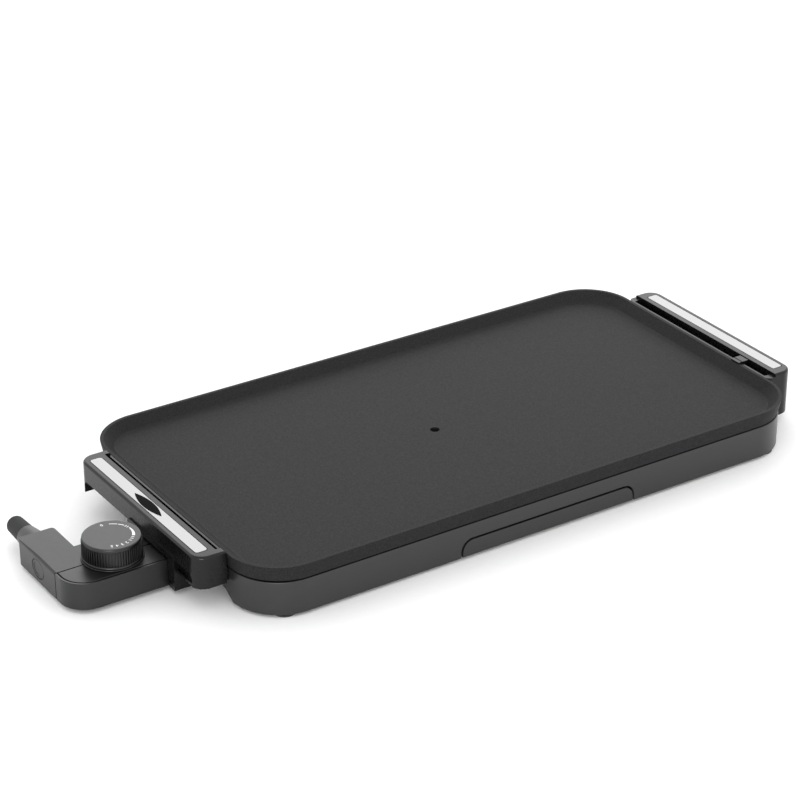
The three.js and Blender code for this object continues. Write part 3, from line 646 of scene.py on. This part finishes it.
def handle_blank(name, place):
    """A handle's bar and legs in one, its outer corners and its top edge rounded."""
    side, outer = place["side"], place["outer"]
    blank = slab(name, (side * HANDLE_WALL, side * outer), (-HANDLE_HALF, HANDLE_HALF),
                 (place["leg_bottom"], HANDLE_TOP))

    def beyond(x):
        return lambda corner: abs(corner.x - MIDDLE) > x * MM

    def within(x):
        return lambda corner: abs(corner.x - MIDDLE) < x * MM

    round_corners(blank, HANDLE_CORNER, 14, UPRIGHT, beyond(outer - 1))
    if place["inner_corner"]:
        round_corners(blank, place["inner_corner"], 5, UPRIGHT, within(HANDLE_WALL + 0.5))
    pick_edges(blank, lambda a, b: min(a.z, b.z) > (HANDLE_TOP - 0.1) * MM)
    bpy.ops.mesh.bevel(offset=HANDLE_EDGE * MM, segments=4, affect="EDGES")
    bpy.ops.object.mode_set(mode="OBJECT")
    return blank


def inlay_blank(name, place, grow, z):
    """The outline of a handle's inlay, grown all round."""
    half, middle = INLAY_HALF_WIDTH + grow, place["side"] * place["inlay"]
    length = INLAY_HALF_LENGTH + grow
    blank = slab(name, (middle - half, middle + half), (-length, length), z)
    return round_corners(blank, INLAY_CORNER + grow, 8)


def shaped_handle(name, place):
    """A handle with its grip opened, its bar hollowed from below and a rail left by the plate."""
    side, slot, outer = place["side"], place["slot"], place["outer"]
    handle = handle_blank(name, place)
    grip = slab("grip", (side * 260, side * 300), (-LEG, LEG), (0, GRIP_Z))
    round_corners(grip, GRIP_CORNER, 8, ALONG_X, above(GRIP_Z - 1))
    hollow = slab("hollow", (side * (slot + BAR_WALL), side * (outer - BAR_WALL)), (-LEG, LEG),
                  (20, HANDLE_TOP - BAR_ROOF))
    groove = slab("groove", (side * RAIL_BACK, side * slot), (-RAIL_HALF, RAIL_HALF), (0, 60))
    round_corners(groove, 0.8, 4)
    beside_rail = (side * (HANDLE_WALL - 2), side * (RAIL_BACK + 1))
    under = slab("under_rail", beside_rail, (-RAIL_HALF, RAIL_HALF), (0, RAIL_Z[0]))
    over = slab("over_rail", beside_rail, (-RAIL_HALF, RAIL_HALF), (RAIL_Z[1], 60))
    seat = inlay_blank("seat", place, 0.6, (HANDLE_TOP - 1.5, HANDLE_TOP + 2))
    cut(handle, grip, hollow, groove, under, over, seat)
    for end in (-1, 1):
        pad = slab("pad", (side * NECK_END, side * (HANDLE_WALL + 1)), (end * LEG, end * 95.8),
                   (place["leg_bottom"] + 1, 32))
        weld(handle, pad)
    return handle


def make_left_handle(plastic):
    """Left handle: a hood takes the control's nose, and a web closes the space beside the hood."""
    handle = shaped_handle("left_grip", LEFT)
    hood = slab("hood", HOOD_X, HOOD_Y, HOOD_Z)
    round_corners(hood, 3, 4, ALONG_X, above(HOOD_Z[1] - 1))
    neck = slab("neck", (-HANDLE_WALL - 1, -NECK_END), HOOD_Y, (12.4, 32))
    throat = slab("throat", (-300, -260), THROAT_Y, (0, THROAT_TOP))
    cut(weld(hood, neck), throat)
    bottom = LEFT["leg_bottom"]
    web = slab("web", (-291, -288.4), WEB_Y, (bottom, HANDLE_TOP - 2.7))
    shelf = slab("shelf", (-294, -284), WEB_Y, (bottom, bottom + 2.4))
    weld(handle, hood, web, shelf)
    soften(handle, 0.6)
    return dress(handle, plastic, "griddle", "handle_plastic", "left_handle")


def make_right_handle(plastic):
    """Right handle: longer legs, a wider slot, low inner ends, and a notch for the catch."""
    handle = shaped_handle("right_grip", RIGHT)
    notch_y = (CATCH_Y[0] - 0.4, CATCH_Y[1] + 0.4)
    notch = slab("notch", (HANDLE_WALL - 1, RAIL_BACK + 1), notch_y, (0, 60))
    step = slab("step", (HANDLE_WALL - 1, RIGHT["slot"]), (-100, 100), (RAIL_Z[1] - 0.2, 60))
    cut(handle, notch, step)
    soften(handle, 0.6)
    return dress(handle, plastic, "griddle", "handle_plastic", "right_handle")


def badge_blank(name, grow, z):
    """A pointed oval, where two large discs overlap."""
    half_length, half_width = BADGE_HALF_LENGTH + grow, BADGE_HALF_WIDTH + grow
    radius = (half_length ** 2 + half_width ** 2) / (2 * half_width)
    offset = radius - half_width
    middles = [LEFT["side"] * LEFT["inlay"] + side * offset for side in (-1, 1)]
    discs = [rod(name, radius, at(x, BADGE_Y, z[0]), at(x, BADGE_Y, z[1]), 180) for x in middles]
    return combine(discs[0], discs[1:], "INTERSECT")


def make_inlays(steel, gloss):
    """Brushed strips let into both handles, and a plain dark badge in the left one."""
    badge_bottom = HANDLE_TOP - 0.5
    for place, name, node in ((LEFT, "left_strip", "left_inlay"),
                              (RIGHT, "right_strip", "right_inlay")):
        strip = inlay_blank(name, place, 0, (HANDLE_TOP - 1.2, HANDLE_TOP + 0.1))
        if place is LEFT:
            cut(strip, badge_blank("badge_seat", 0.25, (badge_bottom, HANDLE_TOP + 2)))
        soften(strip, 0.2, 2)
        dress(strip, steel, "griddle", "brushed_inlay", node)
    badge = badge_blank("badge", 0, (badge_bottom, HANDLE_TOP + 0.3))
    soften(badge, 0.2)
    dress(badge, gloss, "griddle", "badge", "inlay_badge")


def make_catch(plastic):
    """A small hook on the right handle that reaches over the plate's rim."""
    catch = slab("rim_catch", (HANDLE_WALL, RIGHT["slot"] - 0.3), CATCH_Y, CATCH_Z)
    lip = slab("lip", (HANDLE_WALL - CATCH_REACH, HANDLE_WALL + 1), CATCH_Y,
               (RIM + 0.3, CATCH_Z[1]))
    weld(catch, lip)
    soften(catch, 0.35)
    return dress(catch, plastic, "griddle", "handle_plastic", "plate_catch")


# ------------------------------------------------------------------ plug-in control

PARTING_Y, PARTING_GAP = -24, 1        # where the control's front and rear housings meet
CASE_CORNER, CASE_WALL = 22, 2.2
COVER_SEAT, COVER_EDGE = 1.5, 2.6      # how far in the cover's seat and the cover itself start
ARM_RIGHT, ARM_BACK = -347, 41
CORD_X, CORD_Z, CORD_WAY = -362, 15.5, 7.4
SENSOR_WAY, PIN_WAY, SPINDLE_WAY = 5.3, 4, 5
SCREW_X, SCREW_Z, SCREW_WAY = (-341, -301), 8.6, 3.6
BADGE_MIDDLE = (6.5, 15.8)             # y and z of the oval on the arm
BADGE_OVAL, BADGE_OVAL_GAP = (9.5, 7.6), 0.6


def case_front_blank(name, inset, z, nose=CASE_NOSE, back=PARTING_Y - PARTING_GAP / 2):
    """The front half's outline: square at nose and parting, round at its outer corner."""
    left, front = CASE_LEFT + inset, CASE_FRONT + inset
    blank = slab(name, (left, nose), (front, back), z)
    limit = at(left + 1, front + 1, 0)
    return round_corners(blank, CASE_CORNER - inset, 20, UPRIGHT,
                         lambda place: place.x < limit.x and place.y < limit.y)


def nose_holes():
    """Ways in for the sensor rod's collar and the two pins."""
    holes = [(KNOB_Y, SENSOR_WAY)] + [(KNOB_Y + side * PIN_SPREAD, PIN_WAY) for side in (-1, 1)]
    return [rod("way", radius, at(CASE_NOSE - 9, y, PIN_Z), at(CASE_NOSE + 1, y, PIN_Z), 32)
            for y, radius in holes]


def make_case_front(plastic):
    """The control's front housing and the cover let into it."""
    bottom, top = CASE_Z
    past_parting = PARTING_Y + 4
    front = case_front_blank("case_front", 0, CASE_Z)
    seat = case_front_blank("seat", COVER_SEAT, (top - 1.5, top + 2), nose=CASE_NOSE - 1.6,
                            back=past_parting)
    room = case_front_blank("room", CASE_WALL, (bottom + CASE_WALL, top - 3.2),
                            nose=CASE_NOSE - CASE_WALL, back=past_parting)
    cut(front, seat, room, *nose_holes())
    soften(front, 0.55)
    dress(front, plastic, "control", "control_plastic", "control_front_housing")
    cover = case_front_blank("case_cover", COVER_EDGE, (top - 1.2, top + 0.1),
                             nose=CASE_NOSE - COVER_EDGE)
    spindle_way = rod("spindle_way", SPINDLE_WAY, at(KNOB_X, KNOB_Y, 20), at(KNOB_X, KNOB_Y, 40))
    cut(cover, spindle_way)
    soften(cover, 0.4)
    dress(cover, plastic, "control", "control_plastic", "control_top_cover")


def make_case_rear(plastic):
    """The control's rear housing with the arm that the mains lead would leave by."""
    bottom, top = CASE_Z
    parting = PARTING_Y + PARTING_GAP / 2
    rear = slab("case_rear", (CASE_LEFT, CASE_NOSE), (parting, CASE_BACK), CASE_Z)
    arm = slab("arm", (CASE_LEFT, ARM_RIGHT), (parting, ARM_BACK), CASE_Z)
    round_corners(arm, 3, 6, UPRIGHT, lambda place: place.y > (ARM_BACK - 1) * MM)
    weld(rear, arm)
    edge = at(CASE_LEFT + 1, 0, top - 1)
    round_corners(rear, 2.2, 4, ALONG_Y, lambda place: place.x < edge.x and place.z > edge.z)
    inside_z = (bottom + CASE_WALL, top - CASE_WALL)
    hollow = slab("hollow", (CASE_LEFT + CASE_WALL, CASE_NOSE - CASE_WALL),
                  (PARTING_Y - 4, CASE_BACK - CASE_WALL), inside_z)
    arm_hollow = slab("arm_hollow", (CASE_LEFT + CASE_WALL, ARM_RIGHT - CASE_WALL),
                      (PARTING_Y - 4, ARM_BACK - CASE_WALL), inside_z)
    cord_way = rod("cord_way", CORD_WAY, at(CORD_X, ARM_BACK - 8, CORD_Z),
                   at(CORD_X, ARM_BACK + 1, CORD_Z))
    screw_ways = [rod("screw_way", SCREW_WAY, at(x, CASE_BACK - 1, SCREW_Z),
                      at(x, CASE_BACK + 1, SCREW_Z), 28) for x in SCREW_X]
    badge_way = oval("badge_way", BADGE_OVAL_GAP, CASE_LEFT - 2, CASE_LEFT + 0.9)
    cut(rear, weld(hollow, arm_hollow), cord_way, *screw_ways, *nose_holes(), badge_way)
    soften(rear, 0.7)
    dress(rear, plastic, "control", "control_plastic", "control_rear_housing")


def oval(name, grow, x0, x1):
    """The badge's upright oval on the arm's outer face, grown all round, from one x to another."""
    half_y, half_z = [half + grow for half in BADGE_OVAL]
    blank = rod(name, 1.0, (0, 0, 0), (0, 0, (x1 - x0) * MM), 48)
    blank.scale = (half_z, half_y, 1)
    settle(blank, name)
    blank.rotation_mode = "XYZ"
    blank.rotation_euler = (0, math.pi / 2, 0)
    blank.location = at(x0, *BADGE_MIDDLE)
    return settle(blank, name)


def make_side_badge(plastic):
    """A plain oval let into the arm's outer face, with a shallow dished middle."""
    badge = oval("arm_badge", 0, CASE_LEFT + 0.1, CASE_LEFT + 0.7)
    step_face(badge, faces_towards(-1, 0, 0), [(1.6, 0), (0.3, -0.4)])
    soften(badge, 0.1, 2)
    dress(badge, plastic, "control", "control_plastic", "control_side_badge")


def make_cord_exit(plastic, rubber):
    """The tapered collar on the arm's end and the rubber boot that the mains lead would leave by."""
    wall = ARM_BACK - 2.5
    collar_start, collar_end, tip = ARM_BACK + 0.3, ARM_BACK + 18.3, ARM_BACK + 42
    bore, neck, shoulder, large, small = 4.3, 7, 8.8, 10.4, 8.2
    collar = [(bore, wall - 1.8), (shoulder, wall - 1.8), (shoulder, wall), (neck, wall)]
    collar += [(neck, collar_start), (large, collar_start)]
    collar += arc((large, collar_start + 0.6), 0.6, -90, 10, 4)
    collar += arc((small, collar_end - 0.5), 0.5, 10, 90, 4)
    collar += [(bore, collar_end), (bore, wall - 1.8)]
    stem, boot_start, lead = 4, collar_end + 0.3, 3.0
    boot = [(0, wall - 2), (stem, wall - 2), (stem, boot_start), (8.4, boot_start)]
    boot += arc((3.1, tip - 4.6), 4.6, 8, 88, 10)
    boot += [(lead, tip - 0.1), (lead, tip - 7), (0, tip - 7)]
    for name, profile, material, slot, node in (
            ("collar", collar, plastic, "control_plastic", "cord_collar"),
            ("boot", boot, rubber, "foot_rubber", "cord_boot")):
        piece = turn(name, profile, (0, 0, 0), axis=(0, 1, 0))
        piece.location = at(CORD_X, 0, CORD_Z)
        settle(piece, name)
        soften(piece, 0)
        dress(piece, material, "control", slot, node)


# ------------------------------------------------------------------ knob

RIB_COUNT = 66
SCALE_RADIUS = 17.2                    # middle of the printed scale
LINE_PIECES = 14                       # short bars in each stretch of the line
FIGURE_HEIGHT = 4.4
SCALE_LINES = ((68, 47, 0.7, 0.8), (44, 27, 0.8, 0.9), (8, -34, 1.0, 2.4))   # angles and widths
SCALE_TICKS = (22, 15, -42, -50)
SCALE_FIGURES = (("0", 88), ("1", -60), ("2", -74), ("3", -88), ("4", -102), ("5", -116))


def make_knob(plastic, ink):
    """Round knob: flat printed top, smooth upper band, fine ribs round its side and a foot ring."""
    top, bottom, hub_bottom, spindle_top = KNOB_TOP, 28.8, 29.4, 41
    band, waist, foot, inside, ceiling = 23.3, 22.5, 24, 21.4, 42.4
    hub, hub_bore = 6, 3.4
    profile = [(0, top), (21.6, top)] + arc((22.2, top - 1.0), 1.0, 90, 0, 5)
    profile += [(band, top - 1.8), (band, top - 3.0), (waist, top - 3.4), (waist, bottom + 1.8)]
    profile += [(23.6, bottom + 1.4), (foot, bottom + 0.9), (foot, bottom), (inside, bottom)]
    profile += [(inside, ceiling), (hub, ceiling), (hub, hub_bottom), (hub_bore, hub_bottom)]
    profile += [(hub_bore, spindle_top), (0, spindle_top)]
    centre = at(KNOB_X, KNOB_Y, 0)
    knob = turn("knob", profile, centre, steps=120)
    rib_start, rib_end, half_rib = KNOB_X + waist - 0.3, KNOB_X + waist + 1.2, 0.6
    rib = slab("rib", (rib_start, rib_end), (KNOB_Y - half_rib, KNOB_Y + half_rib),
               (bottom + 1.6, top - 3.1))
    outer = at(rib_end - half_rib, 0, 0)
    round_corners(rib, half_rib / 2, 2, UPRIGHT, lambda place: place.x > outer.x)
    copies_round(rib, RIB_COUNT, centre)
    soften(knob, 0)
    for piece in (knob, rib):
        piece.data.materials.append(plastic)
    marks = make_knob_marks(ink)
    focus(knob)
    rib.select_set(True)
    marks.select_set(True)
    bpy.ops.object.join()
    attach(knob, "knob")
    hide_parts("control_knob")


def make_knob_marks(ink):
    """Printed scale: a line that swells as the heat rises, short ticks, and plain figures."""
    marks = []
    for start, end, thin, thick in SCALE_LINES:
        length = SCALE_RADIUS * math.radians(abs(end - start)) / LINE_PIECES + 0.05
        for i in range(LINE_PIECES):
            angle = math.radians(start + (end - start) * (i + 0.5) / LINE_PIECES)
            width = thin + (thick - thin) * i / (LINE_PIECES - 1)
            marks.append(ink_bar(angle, length, width))
    for degrees in SCALE_TICKS:
        marks.append(ink_bar(math.radians(degrees), 0.6, 2.4))
    for figure, degrees in SCALE_FIGURES:
        marks.append(ink_figure(figure, math.radians(degrees)))
    focus(marks[0])
    for mark in marks[1:]:
        mark.select_set(True)
    bpy.ops.object.join()
    marks[0].data.materials.clear()
    marks[0].data.materials.append(ink)
    return marks[0]


def ink_bar(angle, length, width):
    """One flat printed bar, its length along the knob's edge."""
    mark = slab("mark", (-width / 2, width / 2), (-length / 2, length / 2),
                (KNOB_TOP - 0.05, KNOB_TOP + 0.04))
    return stand_on_knob(mark, angle)


def ink_figure(figure, angle):
    """One printed figure, its foot towards the middle of the knob."""
    deselect()
    bpy.ops.object.text_add(location=at(0, 0, KNOB_TOP + 0.03))
    text = bpy.context.object
    text.data.body = figure
    text.data.size = FIGURE_HEIGHT * MM
    text.data.align_x = "CENTER"
    text.data.align_y = "CENTER"
    bpy.ops.object.convert(target="MESH")
    bpy.ops.object.mode_set(mode="EDIT")
    bpy.ops.mesh.select_all(action="SELECT")
    bpy.ops.mesh.extrude_region_move(TRANSFORM_OT_translate={"value": (0, 0, 0.02 * MM)})
    bpy.ops.object.mode_set(mode="OBJECT")
    settle(text, "figure")
    text.data.transform(Matrix.Translation((-MIDDLE, 0, 0)))
    text.data.transform(Matrix.Rotation(-math.pi / 2, 4, "Z"))
    text.data.transform(Matrix.Translation((MIDDLE, 0, 0)))
    return stand_on_knob(text, angle)


def stand_on_knob(mark, angle):
    """Moves a mark made at the plate's middle out to its place on the knob's top."""
    mark.data.transform(Matrix.Translation((-MIDDLE + SCALE_RADIUS * MM, 0, 0)))
    mark.data.transform(Matrix.Rotation(angle, 4, "Z"))
    mark.data.transform(Matrix.Translation(at(KNOB_X, KNOB_Y, 0)))
    return mark


def make_bezel(plastic):
    """The flat ring that the knob turns on."""
    inner, outer, edge = 8, 24.3, 0.5
    bottom = CASE_Z[1] + 0.4
    profile = [(inner, bottom), (outer, bottom)] + arc((outer, bottom + edge), edge, -90, 90, 7)
    profile += [(inner, bottom + 2 * edge), (inner, bottom)]
    bezel = turn("knob_ring", profile, at(KNOB_X, KNOB_Y, 0), steps=96)
    soften(bezel, 0)
    dress(bezel, plastic, "control", "control_plastic", "knob_bezel")


# ------------------------------------------------------------------ pins, rod and CAD parts kept

def make_pins(steel):
    """The pins and the sensor rod, with rounded tips that find their holes."""
    for node, tip, body in (("terminal_pin_front", -1, "griddle"),
                            ("terminal_pin_rear", -1, "griddle"), ("sensor_rod", 1, "control")):
        low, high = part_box(node)
        radius = (high.z - low.z) / 2 / MM
        length = (high.x - low.x) / MM
        profile = [(0, 0), (radius, 0), (radius, length - radius)]
        profile += arc((0, length - radius), radius, 15, 90, 6)
        start = (low.x if tip > 0 else high.x, (low.y + high.y) / 2, (low.z + high.z) / 2)
        pin = turn(node + "_turned", profile, start, axis=(tip, 0, 0), steps=40)
        soften(pin, 0)
        dress(pin, steel, body, "bright_steel", node)


def dress_cad_nodes(material, names):
    """CAD parts whose shape is right keep it and get their real finish."""
    for name in names:
        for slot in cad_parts[name].material_slots:
            slot.material = material


# ------------------------------------------------------------------ scene

def build():
    """Makes the studio, the materials and then every piece."""
    add_camera()
    add_studio()
    coating = nonstick_coating()
    base_plastic = moulded_plastic("satin_base_plastic", "1c1c1d", "1f1f20", 0.33, depth_mm=0.01)
    handle_plastic = moulded_plastic("phenolic_handle_plastic", "080809", "0b0b0c", 0.28, ior=1.36,
                                     depth_mm=0.01)
    case_plastic = moulded_plastic("textured_case_plastic", "0b0b0c", "0e0e0e", 0.36)
    knob_plastic = moulded_plastic("knob_plastic", "080809", "0b0b0b", 0.34)
    collar_plastic = moulded_plastic("grey_collar_plastic", "2c2c2e", "303032", 0.42)
    strip_steel = brushed_stainless()
    gloss = glossy_black()
    rubber = moulded_rubber()
    bright = sheet_metal("bright_stainless", "b4b4b2", "cdcdcb", 0.25, 4)
    zinc = sheet_metal("zinc_plated_sheet", "9a9c9f", "b2b4b6", 0.4, 12)
    screw = sheet_metal("zinc_plated_screw", "8c8e90", "a6a8aa", 0.35, 2)
    brass = sheet_metal("stamped_brass", "b3914f", "cba968", 0.3, 3)
    ceramic = steatite()
    make_plate(coating)
    make_base(base_plastic)
    make_tray(base_plastic)
    make_feet(rubber)
    make_left_handle(handle_plastic)
    make_right_handle(handle_plastic)
    make_inlays(strip_steel, gloss)
    make_catch(handle_plastic)
    make_case_front(case_plastic)
    make_case_rear(case_plastic)
    make_side_badge(case_plastic)
    make_cord_exit(collar_plastic, rubber)
    make_bezel(knob_plastic)
    make_knob(knob_plastic, scale_ink())
    make_pins(bright)
    dress_cad_nodes(screw, [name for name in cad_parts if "screw" in name])
    dress_cad_nodes(zinc, ["bottom_cover", "heat_reflector", "tray_rail_left", "tray_rail_right"])
    dress_cad_nodes(bright, ["heating_element", "rod_collar"])
    dress_cad_nodes(ceramic, ["pin_insulator_front", "pin_insulator_rear", "thermostat_block"])
    dress_cad_nodes(brass, ["contact_socket_front", "contact_socket_rear", "knob_spindle"])


build()
